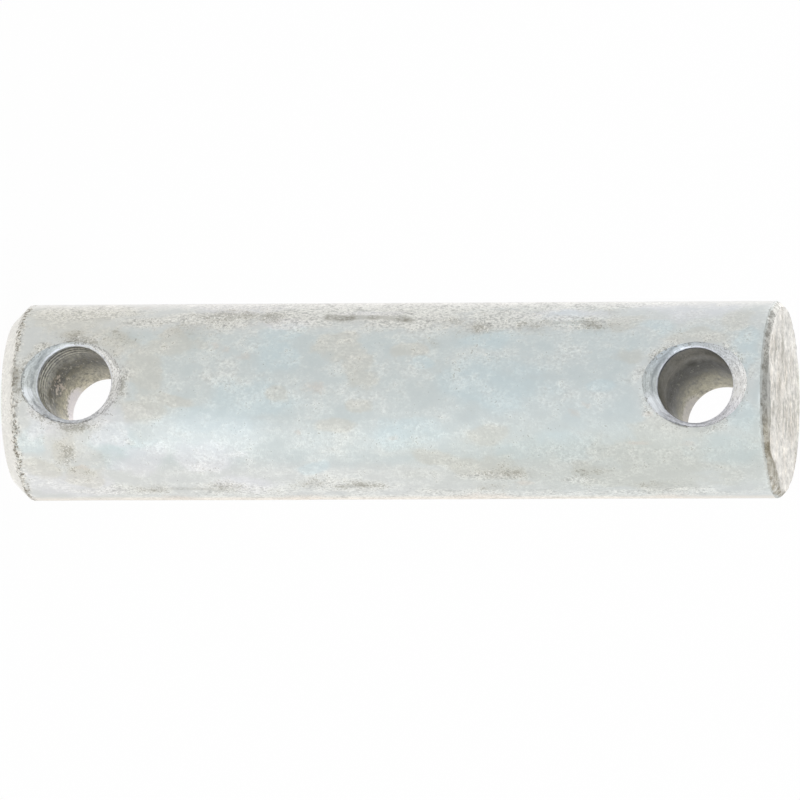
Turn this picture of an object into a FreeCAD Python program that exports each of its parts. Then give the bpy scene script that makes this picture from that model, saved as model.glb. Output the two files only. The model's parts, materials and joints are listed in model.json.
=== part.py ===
"""A headless clevis pin: one length of plated round steel bar, cross-drilled near both ends.

The pin stands on its turned end. +Z runs up the bar to the sawn end, and the lower cross hole
runs along Y. The origin is the centre of the base face. Lengths are in millimetres.
"""

import FreeCAD
import Part

import math
import os

# The bar.
bar_diameter = 25.0
overall_length = 99.2

# The base was turned with a generous lead-in. The top was sawn off and only deburred.
base_chamfer = 2.0
top_chamfer = 0.75

# What handling and plating leave of the sharp corners at the chamfers.
corner_round = 0.2

# The cross holes, each with a countersink at both mouths. A countersink's diameter is its
# width where it meets the crest of the bar.
bore_diameter = 9.6
lower_countersink_diameter = 13.0
upper_countersink_diameter = 13.4
countersink_angle = 90.0

# From an end of the bar to the middle of its hole.
lower_hole_margin = 9.6
upper_hole_margin = 9.45

# The holes were drilled one at a time, so each misses the middle of the bar a little, to one
# side or the other, and the upper one is turned a little from the lower one.
lower_hole_offset = -0.37
upper_hole_offset = 0.585
upper_hole_twist = -2.0

# The countersinks were cut after the holes and miss their middles, to the side and up the bar.
lower_countersink_aside = -0.15
lower_countersink_above = -0.1
upper_countersink_aside = 0.35
upper_countersink_above = 0.2

NODE = "cross_drilled_pin"
ORIGIN = FreeCAD.Vector(0, 0, 0)
SIDEWAYS = FreeCAD.Vector(1, 0, 0)
UP = FreeCAD.Vector(0, 0, 1)


def turn_profile(points):
    """The solid that a profile of (radius, height) points sweeps when it turns about Z."""
    corners = [FreeCAD.Vector(radius, 0, height) for radius, height in points]
    section = Part.Face(Part.makePolygon(corners + corners[:1]))
    return section.revolve(ORIGIN, UP, 360)


def make_bar():
    """The bar with both ends chamfered, and the four corners at the chamfers rounded."""
    radius = bar_diameter / 2
    bar = turn_profile([
        (0, 0),
        (radius - base_chamfer, 0),
        (radius, base_chamfer),
        (radius, overall_length - top_chamfer),
        (radius - top_chamfer, overall_length),
        (0, overall_length),
    ])
    corners = [edge for edge in bar.Edges if isinstance(edge.Curve, Part.Circle)]
    return bar.makeFillet(corner_round, corners)


def lay_across(tool, aside, height, twist):
    """A tool that stands on Z, laid along Y at a height, moved aside, and turned by twist."""
    tool.rotate(ORIGIN, SIDEWAYS, 90)
    tool.translate(FreeCAD.Vector(aside, 0, height))
    tool.rotate(ORIGIN, UP, twist)
    return tool


def drill(bar, aside, height, twist):
    """The bar less a straight bore right through it."""
    start = FreeCAD.Vector(0, 0, -bar_diameter / 2)
    bore = Part.makeCylinder(bore_diameter / 2, bar_diameter, start)
    return bar.cut(lay_across(bore, aside, height, twist))


def countersink(bar, diameter, aside, height, twist):
    """The bar less a cone at the front and another at the back.

    Each cone goes on outwards past the crest of the bar, so that it cuts clean through the wall.
    """
    slope = math.tan(math.radians(countersink_angle / 2))
    crest = bar_diameter / 2
    tip = crest - diameter / 2 / slope
    reach = 2 * crest - tip
    cones = [
        Part.makeCone(0, (reach - tip) * slope, reach - tip, UP * tip * side, UP * side)
        for side in (1, -1)
    ]
    return bar.cut([lay_across(cone, aside, height, twist) for cone in cones])


def make_pin():
    """The whole pin, as one solid."""
    lower_height = lower_hole_margin
    upper_height = overall_length - upper_hole_margin
    bar = make_bar()
    bar = drill(bar, lower_hole_offset, lower_height, 0)
    bar = countersink(
        bar,
        lower_countersink_diameter,
        lower_hole_offset + lower_countersink_aside,
        lower_height + lower_countersink_above,
        0,
    )
    bar = drill(bar, upper_hole_offset, upper_height, upper_hole_twist)
    bar = countersink(
        bar,
        upper_countersink_diameter,
        upper_hole_offset + upper_countersink_aside,
        upper_height + upper_countersink_above,
        upper_hole_twist,
    )
    return bar.Solids[0]


def main():
    os.makedirs("parts", exist_ok=True)
    pin = make_pin()
    pin.exportStep(os.path.join("parts", NODE + ".step"))
    box = pin.optimalBoundingBox()
    print(f"{NODE}: valid {pin.isValid()}, {pin.Volume:.1f} cubic millimetres")
    print(f"box {box.XLength:.2f} x {box.YLength:.2f} x {box.ZLength:.2f}, from z = {box.ZMin:.3f}")


main()
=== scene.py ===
# %% [markdown]
# # A cross-drilled pin of zinc-plated steel
#
# The object is one length of round bar. One end was turned to a broad chamfer, the other was
# sawn off and hardly cleaned up, and a countersunk hole crosses the bar near each end. After
# that it was zinc plated and has been handled, so it is pale, blotchy and speckled.
#
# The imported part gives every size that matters. This lesson makes a finer skin of the same
# shape, with the small damage and tool marks that a plain solid leaves out, and then the finish.

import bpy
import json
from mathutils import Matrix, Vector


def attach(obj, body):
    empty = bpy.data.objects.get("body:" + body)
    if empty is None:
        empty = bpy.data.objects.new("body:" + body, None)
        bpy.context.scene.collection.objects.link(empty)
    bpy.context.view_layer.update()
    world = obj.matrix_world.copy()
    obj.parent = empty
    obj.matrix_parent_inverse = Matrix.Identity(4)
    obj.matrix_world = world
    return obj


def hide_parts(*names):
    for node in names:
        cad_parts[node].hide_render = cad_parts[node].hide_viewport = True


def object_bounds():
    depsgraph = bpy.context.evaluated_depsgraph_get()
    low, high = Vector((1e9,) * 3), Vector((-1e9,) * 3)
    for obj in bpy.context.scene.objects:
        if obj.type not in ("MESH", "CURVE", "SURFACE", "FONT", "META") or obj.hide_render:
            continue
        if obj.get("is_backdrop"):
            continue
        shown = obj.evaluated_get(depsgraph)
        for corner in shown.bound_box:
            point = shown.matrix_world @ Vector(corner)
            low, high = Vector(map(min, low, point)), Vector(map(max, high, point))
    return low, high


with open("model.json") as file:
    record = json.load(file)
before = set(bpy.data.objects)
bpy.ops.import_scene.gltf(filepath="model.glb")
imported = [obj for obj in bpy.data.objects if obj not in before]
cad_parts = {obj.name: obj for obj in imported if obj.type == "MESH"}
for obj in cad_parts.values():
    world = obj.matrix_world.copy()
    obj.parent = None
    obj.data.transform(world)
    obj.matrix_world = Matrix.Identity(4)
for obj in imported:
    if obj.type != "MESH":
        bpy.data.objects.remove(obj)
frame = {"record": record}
NODE = "cross_drilled_pin"
cad_low, cad_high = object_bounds()
print("packed box:", cad_low, cad_high)

# %% What else the lesson uses
import functools
import itertools
import json
import math
import types

import bmesh
import bpy
import numpy as np
from mathutils import Matrix, Vector

MM = 0.001

# %% [markdown]
# ## The sizes
#
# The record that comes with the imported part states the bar's radius and, for each cross hole,
# where its axis runs and its radius. The chamfers and the countersinks aren't stated there, so
# they are written down here, in millimetres. A countersink's width is taken at the crest of the
# bar, and each misses the middle of its hole a little, to the side and up the bar.

# %% Read the sizes
mounts = {mount["name"]: mount for mount in frame["record"]["mounts"]}
bar_radius = mounts["shank"]["dims"]["r_mm"]
bar_length = (cad_high[2] - cad_low[2]) / MM
bore_radius = mounts["lower_cross_hole"]["dims"]["r_mm"]
base_chamfer = 2.0
top_chamfer = 0.75
corner_ease = 0.2
lower_countersink = {"width": 13.0, "aside": -0.15, "above": -0.1}
upper_countersink = {"width": 13.4, "aside": 0.35, "above": 0.2}
print(f"bar {2 * bar_radius:.1f} x {bar_length:.1f} mm, bores {2 * bore_radius:.1f} mm")

# %% [markdown]
# ## The four mouths
#
# Each hole opens twice, at the front of the bar and at its back. A mouth is described by the
# turn it faces, in radians from the front towards +X, the height of its axis, and how far that
# axis passes beside the middle of the bar, counted to the right of someone who faces the mouth.
# Its countersink is a right-angled cone, so its radius at any depth is the depth less that of
# the cone's tip.

# %% List the mouths
def mouths_of(mount, countersink):
    """The front and the back mouth of one cross hole."""
    x, y, z = mount["pos_m"]
    turn = math.atan2(-mount["axis"][0], mount["axis"][1])
    beside = (x * math.cos(turn) + y * math.sin(turn)) / MM
    shared = {
        "height": z / MM,
        "above": countersink["above"],
        "tip": bar_radius - countersink["width"] / 2,
    }
    aside = countersink["aside"]
    front = {"turn": turn, "sector": 0.0, "beside": beside, "aside": aside}
    back = {"turn": turn + math.pi, "sector": math.pi, "beside": -beside, "aside": -aside}
    return [front | shared, back | shared]


lower_mouths = mouths_of(mounts["lower_cross_hole"], lower_countersink)
upper_mouths = mouths_of(mounts["upper_cross_hole"], upper_countersink)
all_mouths = lower_mouths + upper_mouths
for mouth in all_mouths:
    print({key: round(value, 3) for key, value in mouth.items()})


# %% [markdown]
# ## How the skin is laid out
#
# A grid of quads bends round a cylinder easily, but a round hole doesn't fit into a grid. So
# the wall is cut into four sectors, as one would mark out a bar with four lines. A sector with
# a mouth in it becomes a ring: its inner edge is the mouth, its outer edge is the sector's own
# border, and straight lines join the two. Everything has the same number of columns, so that
# each patch meets the next one point for point.

# %% Columns and rows
SIDE = 40
COLUMNS = 4 * SIDE
QUARTER = math.pi / 2
block_reach = bar_radius * QUARTER / 2

wall_foot = base_chamfer + corner_ease / 2
wall_head = bar_length - top_chamfer - corner_ease / 2
lower_block_head = lower_mouths[0]["height"] + block_reach
upper_block_foot = upper_mouths[0]["height"] - block_reach


def on_bar(turn, height, radius):
    """Points at a turn round the bar, a height and a distance from its middle.

    x = radius sin(turn), y = -radius cos(turn), so that turn 0 faces the front.
    """
    turn, height, radius = np.broadcast_arrays(turn, height, radius)
    return np.stack([radius * np.sin(turn), -radius * np.cos(turn), height], axis=-1)


column_turns = np.linspace(0, 2 * math.pi, COLUMNS + 1) - QUARTER / 2
print(f"{COLUMNS} columns, {2 * math.pi * bar_radius / COLUMNS:.2f} mm apart on the wall")

# %% [markdown]
# ## Where a countersink meets the bar
#
# The mouth of a countersink on a round bar is a saddle, wider along the bar than across it. Its
# edge can be worked out exactly: it is where the cone and the cylinder have the same depth. Its
# inner edge, on the bore, isn't a flat circle either, because the cone is off the bore's axis.

# %% The edges of a mouth
ring_angles = np.linspace(0, 2 * math.pi, COLUMNS + 1) + 5 * QUARTER / 2


def seen_from_cone(mouth, side, rise):
    """The distance and angle from the cone's axis of a place given from the bore's axis."""
    side = side - mouth["aside"]
    rise = rise - mouth["above"]
    return np.hypot(side, rise), np.arctan2(rise, side)


def mouth_reach(mouth, angle):
    """How far a mouth's edge on the wall lies from the cone's axis, at each angle round that axis.

    At reach r the cone is at depth d = tip + r, and r cos(angle) + beside across the bar, so
    d squared + across squared = bar radius squared, solved for its positive r.
    """
    beside = mouth["beside"] + mouth["aside"]
    across = np.cos(angle)
    a = 1 + across**2
    b = 2 * (mouth["tip"] + beside * across)
    c = mouth["tip"]**2 + beside**2 - bar_radius**2
    return (-b + np.sqrt(b * b - 4 * a * c)) / (2 * a)


def in_hole(mouth, side, rise, depth):
    """Points at a place beside and above a bore's axis, and a depth out from the bar's middle."""
    turn = mouth["turn"]
    across = mouth["beside"] + side
    x = depth * math.sin(turn) + across * math.cos(turn)
    y = -depth * math.cos(turn) + across * math.sin(turn)
    z = mouth["height"] + rise
    return np.stack(np.broadcast_arrays(x, y, z), axis=-1)


def mouth_edges(mouth):
    """The inner and the outer edge of a countersink, as (side, rise, depth) arrays.

    The inner edge is the bore's circle, at depth tip + its distance from the cone's axis. The
    outer edge lies in the same directions from that axis, where the cone meets the wall.
    """
    side, rise = bore_radius * np.cos(ring_angles), bore_radius * np.sin(ring_angles)
    distance, direction = seen_from_cone(mouth, side, rise)
    inner = np.stack([side, rise, mouth["tip"] + distance])
    reach = mouth_reach(mouth, direction)
    outer_side = mouth["aside"] + reach * np.cos(direction)
    outer_rise = mouth["above"] + reach * np.sin(direction)
    return inner, np.stack([outer_side, outer_rise, mouth["tip"] + reach])


for mouth in (lower_mouths[0], upper_mouths[0]):
    outer = mouth_edges(mouth)[1]
    print(f"mouth {np.ptp(outer[0]):.1f} mm across the bar, {np.ptp(outer[1]):.1f} mm along it")


# %% [markdown]
# ## The patches
#
# Each patch is a grid of points, row by row. The rows of a ring crowd towards the mouth, where
# the edge is, and the rows of a cone or a bore follow the tool that cut it.

# %% Patches of the wall
RING_ROWS = 18
CONE_ROWS = 16
BORE_ROWS = 64
BAND_ROW = 0.5
EDGE_ROW = 0.12
MERGE_GAP = 0.001 * MM


def crowded(rows, first, total=1.0):
    """Row places from 0 to 1 that start a small first step apart and then widen evenly."""
    even = np.linspace(0, 1, rows + 1)
    power = math.log(first / total) / math.log(1 / rows)
    return even ** max(power, 1.0)


def ring_patch(mouth, foot, head):
    """The sector round a mouth: straight lines on the unrolled wall, from its edge outwards."""
    side, rise = mouth_edges(mouth)[1][:2]
    inner_turn = mouth["turn"] + np.arcsin((mouth["beside"] + side) / bar_radius)
    inner_height = mouth["height"] + rise
    ramp = np.linspace(-1, 1, SIDE + 1)[:-1]
    flat = np.ones(SIDE)
    sides = np.concatenate([ramp, flat, -ramp, -flat, ramp[:1]])
    rises = np.concatenate([-flat, ramp, flat, -ramp, -flat[:1]])
    outer_turn = mouth["sector"] + sides * QUARTER / 2
    outer_height = (head + foot) / 2 + rises * (head - foot) / 2
    share = crowded(RING_ROWS, EDGE_ROW, block_reach - bore_radius)[:, None]
    turn = inner_turn + share * (outer_turn - inner_turn)
    height = inner_height + share * (outer_height - inner_height)
    return on_bar(turn, height, bar_radius)


def side_patch(sector, foot, head):
    """A plain sector of the wall, beside one with a mouth."""
    turns = sector + np.linspace(-1, 1, SIDE + 1) * QUARTER / 2
    heights = np.linspace(foot, head, SIDE + 1)[:, None]
    return on_bar(turns, heights, bar_radius)


def band_patch(foot, head):
    """The plain wall all the way round, between the two holes."""
    rows = round((head - foot) / BAND_ROW)
    return on_bar(column_turns, np.linspace(foot, head, rows + 1)[:, None], bar_radius)


def cone_patch(mouth):
    """A countersink, along the cone's straight lines from its edge on the wall down to the bore."""
    inner, outer = mouth_edges(mouth)
    share = crowded(CONE_ROWS, EDGE_ROW, 2.0)[:, None]
    side, rise, depth = (out + share * (into - out) for into, out in zip(inner, outer))
    return in_hole(mouth, side, rise, depth)


def bore_patch(front, back):
    """The straight bore, from the front countersink's inner edge to the back one's."""
    side, rise, front_depth = mouth_edges(front)[0]
    distance = seen_from_cone(back, -side, rise)[0]
    back_depth = -(back["tip"] + distance)
    depth = front_depth + np.linspace(0, 1, BORE_ROWS + 1)[:, None] * (back_depth - front_depth)
    return in_hole(front, side, rise, depth)


# %% [markdown]
# The two ends are turned shapes: a profile of radius and height, carried round the bar. Every
# corner of a profile is eased with a short curve, because no handled edge is really sharp.

# %% Patches of the ends
FACE_STEP = 0.55
CHAMFER_STEP = 0.3
EASE_ROWS = 3


def straight(start, end, step):
    """Evenly spaced points from start up to, and not including, end."""
    start, end = np.array(start), np.array(end)
    rows = max(round(np.linalg.norm(end - start) / step), 1)
    return start + np.linspace(0, 1, rows + 1)[:-1, None] * (end - start)


def eased(before, corner, after):
    """A corner as a short curve: the parabola that leaves and arrives along the two straights."""
    corner = np.array(corner, float)
    start = corner + (before - corner) / np.linalg.norm(before - corner) * corner_ease / 2
    end = corner + (after - corner) / np.linalg.norm(after - corner) * corner_ease / 2
    t = np.linspace(0, 1, EASE_ROWS + 1)[:, None]
    return start * (1 - t)**2 + 2 * corner * t * (1 - t) + end * t**2


def end_patch(face, chamfer, inwards):
    """One end of the bar, from the middle of its face to the foot or head of the wall."""
    middle = np.array([0.0, face])
    rim = np.array([bar_radius - chamfer, face])
    shoulder = np.array([bar_radius, face + inwards * chamfer])
    wall = np.array([bar_radius, face + inwards * (chamfer + corner_ease / 2)])
    rim_curve = eased(middle, rim, shoulder)
    shoulder_curve = eased(rim, shoulder, wall)
    profile = np.concatenate([
        straight(middle, rim_curve[0], FACE_STEP),
        rim_curve[:-1],
        straight(rim_curve[-1], shoulder_curve[0], CHAMFER_STEP),
        shoulder_curve,
    ])
    return on_bar(column_turns, profile[:, 1:], profile[:, :1])


base_patch = end_patch(0.0, base_chamfer, 1)
top_patch = end_patch(bar_length, top_chamfer, -1)
print("rows of the base and of the top:", len(base_patch), len(top_patch))

# %% [markdown]
# ## One closed skin
#
# The patches share their border points, so merging doubles sews them into one closed surface.
# Each patch also says which finish its faces take. The faces are then turned to point outwards.

# %% Sew the patches
PLATED, COUNTERSUNK, DRILLED, SAWN = range(4)

patches = [
    (base_patch, PLATED),
    (top_patch, SAWN),
    (band_patch(lower_block_head, upper_block_foot), PLATED),
]
for pair, foot, head in (
    (lower_mouths, wall_foot, lower_block_head),
    (upper_mouths, upper_block_foot, wall_head),
):
    patches += [(side_patch(sector, foot, head), PLATED) for sector in (QUARTER, 3 * QUARTER)]
    patches += [(ring_patch(mouth, foot, head), PLATED) for mouth in pair]
    patches += [(cone_patch(mouth), COUNTERSUNK) for mouth in pair]
    patches.append((bore_patch(*pair), DRILLED))
print(len(patches), "patches")

# %% One mesh from the patches
def grid_quads(rows, columns):
    """The corners of a grid's quads: a point, its right neighbour, and those in the next row."""
    number = np.arange(rows * columns).reshape(rows, columns)
    corners = [number[:-1, :-1], number[:-1, 1:], number[1:, 1:], number[1:, :-1]]
    return np.stack(corners, axis=-1).reshape(-1, 4)


def sew(patches, name):
    """One mesh out of all patches, with doubles merged and normals outwards."""
    points, quads, finishes, count = [], [], [], 0
    for grid, finish in patches:
        rows, columns = grid.shape[:2]
        faces = grid_quads(rows, columns)
        points.append(grid.reshape(-1, 3) * MM)
        quads.append(faces + count)
        finishes.append(np.full(len(faces), finish, dtype=np.int32))
        count += rows * columns
    mesh = bpy.data.meshes.new(name)
    mesh.from_pydata(np.concatenate(points).tolist(), [], np.concatenate(quads).tolist())
    mesh.polygons.foreach_set("material_index", np.concatenate(finishes))
    sewing = bmesh.new()
    sewing.from_mesh(mesh)
    bmesh.ops.remove_doubles(sewing, verts=sewing.verts, dist=MERGE_GAP)
    bmesh.ops.recalc_face_normals(sewing, faces=sewing.faces)
    open_edges = sum(1 for edge in sewing.edges if len(edge.link_faces) != 2)
    sewing.to_mesh(mesh)
    sewing.free()
    print(f"{name}: {len(mesh.vertices)} points, {len(mesh.polygons)} faces")
    print(f"{open_edges} open edges")
    return mesh


skin = sew(patches, "pin_skin")

# %% [markdown]
# ## Reading the skin as arrays
#
# From here on the whole skin is worked on at once. For each point it helps to know how far it
# is from the nearest mouth's edge, and how deep in a bore it lies, because dirt and wear
# follow both.

# %% Points, normals and places on the bar
def read_points(mesh):
    """The mesh's points, in millimetres, and its normals."""
    points = np.empty(len(mesh.vertices) * 3)
    normals = np.empty(len(mesh.vertices) * 3, dtype=np.float32)
    mesh.vertices.foreach_get("co", points)
    mesh.vertex_normals.foreach_get("vector", normals)
    return points.reshape(-1, 3) / MM, normals.reshape(-1, 3).astype(float)


points, normals = read_points(skin)
from_axis = np.hypot(points[:, 0], points[:, 1])
turn = np.arctan2(points[:, 0], -points[:, 1])
height = points[:, 2]
print(f"{len(points)} points, up to {from_axis.max():.2f} mm from the middle")

# %% Gaps to the mouths and depths in the bores
FAR_AWAY = 50.0
CLOSE = 0.01
HAIR = 0.001


def measure_mouths(points):
    """For each point: the gap to the nearest mouth's edge, the depth below its neck, and two more.

    The gap is negative inside a mouth. The depth is 0 outside the straight bores. The others are
    how far outside the bore's own circle the point lies, and how far up the bar from its axis,
    as a share of the distance from that axis.
    """
    gap = np.full(len(points), FAR_AWAY)
    depth = np.zeros(len(points))
    neck = np.full(len(points), FAR_AWAY)
    upwards = np.zeros(len(points))
    for mouth in all_mouths:
        facing = points[:, 0] * math.sin(mouth["turn"]) - points[:, 1] * math.cos(mouth["turn"])
        across = points[:, 0] * math.cos(mouth["turn"]) + points[:, 1] * math.sin(mouth["turn"])
        side = across - mouth["beside"]
        rise = points[:, 2] - mouth["height"]
        distance, direction = seen_from_cone(mouth, side, rise)
        own = distance - mouth_reach(mouth, direction)
        near = (facing > -CLOSE) & (own < gap)
        gap = np.where(near, own, gap)
        below = mouth["tip"] + distance - facing
        from_bore = np.hypot(side, rise)
        on_bore = near & (from_bore < bore_radius + CLOSE)
        depth = np.where(on_bore, np.maximum(below, 0), depth)
        neck = np.where(near, from_bore - bore_radius, neck)
        upwards = np.where(near, rise / np.maximum(from_bore, 0.1), upwards)
    return gap, depth, neck, upwards


mouth_gap, bore_depth, neck_gap, mouth_up = measure_mouths(points)
inside_hole = (mouth_gap < -HAIR) & (from_axis < bar_radius - HAIR)
in_bore = inside_hole & (bore_depth > HAIR)
in_cone = inside_hole & ~in_bore
on_top = height > bar_length - CLOSE
on_base = height < CLOSE
print("points in cones", in_cone.sum(), "and in bores", in_bore.sum())
print("points on the base", on_base.sum(), "and on the top", on_top.sum())

# %% [markdown]
# ## Small unevenness
#
# Bar stock is never a perfect cylinder, and a drill never leaves a perfect wall. Smooth random
# values on a coarse lattice of points, blended in between, give that kind of unevenness.

# %% Smooth noise
LATTICE = 32
LATTICE_START = 500.0


def noise(places, size, seed):
    """Smooth random values from -1 to 1 that change over a length of size.

    Random numbers sit on a lattice with that spacing. A place takes the mean of the eight
    round it, each weighted by w = f f (3 - 2 f), where f is how near it is along each axis.
    """
    table = np.random.default_rng(seed).uniform(-1, 1, (LATTICE, LATTICE, LATTICE))
    lattice = places / size + LATTICE_START
    cell = np.floor(lattice).astype(int)
    part = lattice - cell
    weight = part * part * (3 - 2 * part)
    total = np.zeros(len(places))
    for step in itertools.product((0, 1), repeat=3):
        corner = (cell + step) % LATTICE
        share = np.prod(np.where(step, weight, 1 - weight), axis=1)
        total += share * table[corner[:, 0], corner[:, 1], corner[:, 2]]
    return total


def bump_at(distance, width):
    """A smooth bell: 1 where the distance is 0, and near 0 beyond its width."""
    return np.exp(-(distance / width)**2)


print("noise at the middle of the bar:", noise(np.array([[0.0, 0.0, 50.0]]), 5.0, 11).round(3))

# %% [markdown]
# The tool marks come next: faint rings in the countersinks, ridges about a millimetre apart in
# the bores that fade with depth, and the ragged lines of the saw on the top. In the photo the
# ridges are plain in the lower bore only, so the upper one keeps just a trace of them.

# %% Relief of the holes and the wall
RIDGE_PITCH = 1.15
RIDGE_DEPTH = 0.06
RIDGE_REACH = 6.0
UPPER_RIDGES = 0.06
on_front = points[:, 1] < 0
ridge_share = np.where(height < bar_length / 2, 1.0, UPPER_RIDGES)
ridge_fade = np.exp(-bore_depth / RIDGE_REACH) * on_front * ridge_share
ridge_phase = bore_depth / RIDGE_PITCH + 0.25 * noise(points, 5.0, 11)
bore_relief = -RIDGE_DEPTH * ridge_fade * (0.5 + 0.5 * np.cos(2 * math.pi * ridge_phase))
bore_relief += 0.05 * noise(points, 2.2, 12)

cone_relief = 0.006 * np.sin(2 * math.pi * (mouth_gap / 0.55 + 0.5 * noise(points, 4.0, 13)))
cone_relief += 0.02 * noise(points, 1.6, 14)

wall_relief = 0.02 * noise(points, 11.0, 15) + 0.012 * noise(points, 2.6, 16)
print(f"ridges up to {RIDGE_DEPTH} mm deep, cones uneven by {np.ptp(cone_relief[in_cone]):.2f} mm")

# %% Relief of the sawn face
saw_sway = points[:, 1] + 1.6 * noise(points, 6.0, 21)
saw_lines = np.stack([points[:, 0], saw_sway, points[:, 2] * 0], axis=-1)
top_relief = 0.05 * noise(saw_lines * np.array([0.25, 1.0, 1.0]), 2.2, 17)
top_relief += 0.025 * noise(saw_lines * np.array([0.4, 1.0, 1.0]), 1.1, 18)
top_relief -= 0.06
print(f"saw strokes uneven by {np.ptp(top_relief[on_top]):.2f} mm")

# %% [markdown]
# Corners are where handling shows first. Nicks are the peaks of a fine noise, and they count
# only near the two chamfers and the edges of the mouths.

# %% Nicked corners, and all the relief together
nicks = np.clip(noise(points, 0.8, 19) - 0.15, 0, 1) + np.clip(noise(points, 0.5, 20) - 0.3, 0, 1)
base_edge = bump_at(height - base_chamfer, 0.45) * (from_axis > bar_radius - 0.6)
top_edge = bump_at(height - (bar_length - top_chamfer / 2), 0.45) * (from_axis > bar_radius - 1.2)
mouth_edge = bump_at(mouth_gap, 0.3)

relief = np.where(in_bore, bore_relief, np.where(in_cone, cone_relief, wall_relief))
relief = np.where(on_top, top_relief, relief)
relief = np.where(on_base, 0.0, relief)
relief -= 0.16 * nicks * base_edge + 0.22 * nicks * top_edge + (0.05 + 0.1 * nicks) * mouth_edge
points = points + normals * relief[:, None]

skin.vertices.foreach_set("co", (points * MM).ravel())
skin.polygons.foreach_set("use_smooth", np.ones(len(skin.polygons), dtype=bool))
skin.update()
print(f"relief from {relief.min():.2f} to {relief.max():.2f} mm")

# %% [markdown]
# The edge of the sawn face is crushed, and more so where the saw came out: the crushed part is
# widest a little to the right of the front, has a second lobe further round, and is narrow at
# the back. Its border is kept as how far outside it a point lies.

# %% Crushed part of the sawn face
turn_degrees = np.degrees(turn)
crush_width = 2.6 * bump_at(((turn_degrees - 12) / 25)**2, 1.0)
crush_width += 1.6 * bump_at(turn_degrees - 68, 17)
crush_width -= 0.4 * (np.abs(turn_degrees - 20) > 90)
outside_face = from_axis - (bar_radius - top_chamfer) + crush_width
print(f"crushed for up to {crush_width.max():.1f} mm inside the edge")

# %% Gaps and depths, kept with the skin
def keep(mesh, name, values):
    """Stores one number for each point, for the finishes to read."""
    layer = mesh.attributes.new(name, "FLOAT", "POINT")
    layer.data.foreach_set("value", np.asarray(values, dtype=np.float32))
    share = 100 * np.mean(values > 0)
    print(f"{name}: from {values.min():.2f} to {values.max():.2f}, above 0 on {share:.0f} %")


for name, values in (
    ("mouth_gap", mouth_gap),
    ("bore_depth", bore_depth),
    ("neck_gap", neck_gap),
    ("mouth_up", mouth_up),
    ("outside_face", outside_face),
):
    keep(skin, name, values)


# %% [markdown]
# ## Where the pin is stained and dirty
#
# The photo shows which parts of the bar are clean and bluish, which have a brownish haze, and
# where dirt has settled into a speckled crust. These areas are drawn here as ovals on the
# unrolled wall. Each is given by its turn in degrees, its height, and its half sizes round and
# along the bar, in millimetres, and sometimes a lean in degrees. Noise then pushes their
# outlines about, so that no oval shows. The hidden side gets areas of the same kind, at random.

# %% Ovals with ragged outlines
FULL_TURN = 360.0
MM_PER_DEGREE = math.pi * bar_radius / 180
place_turn = np.degrees(np.arctan2(points[:, 0], -points[:, 1]))
drift_round = 0.9 * noise(points, 3.6, 31) + 0.45 * noise(points, 1.4, 32)
drift_along = 1.2 * noise(points, 4.2, 33) + 0.7 * noise(points, 1.6, 34)


def degrees_from(turn):
    """How many degrees each point lies past a turn, from -180 to 180."""
    return (place_turn - turn + FULL_TURN / 2) % FULL_TURN - FULL_TURN / 2


def oval(turn, height, half_round, half_along, lean=0.0):
    """How deep in an oval each point lies: 1 in its middle, 0 on its outline, negative outside.

    The depth is 1 - sqrt((u / half_round)^2 + (v / half_along)^2), where u and v are the drifted
    distances round and along the bar, turned by lean degrees. Small ovals drift less.
    """
    ragged = min(1.0, half_round / 2)
    u = degrees_from(turn) * MM_PER_DEGREE + ragged * drift_round
    v = points[:, 2] - height + ragged * drift_along
    c, s = math.cos(math.radians(lean)), math.sin(math.radians(lean))
    u, v = c * u + s * v, c * v - s * u
    return 1 - np.hypot(u / half_round, v / half_along)


def areas(ovals):
    """Several ovals as one area: at each point the deepest of them counts."""
    return np.max([oval(*one) for one in ovals], axis=0)


print(f"outlines drift by up to {np.abs(drift_along).max():.1f} mm")

# %% The hidden side
CAMERA_SIDE = 11.0
HIDDEN_FROM = 82.0
HIDDEN_BLEND = 12.0
hidden = np.clip((np.abs(degrees_from(CAMERA_SIDE)) - HIDDEN_FROM) / HIDDEN_BLEND, 0, 1)


def with_hidden(shown, size, seed, level, length=1.0):
    """An area with random patches of a size on the hidden side, drawn out by length."""
    places = points * np.array([1.0, 1.0, 1 / length])
    patches = 1.6 * noise(places, size, seed) + 0.8 * noise(places, size / 2.3, seed + 1) + level
    return np.maximum(shown * (1 - hidden), hidden * patches - (1 - hidden))


print(f"{100 * np.mean(hidden):.0f} % of the points are hidden from the camera")
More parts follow.
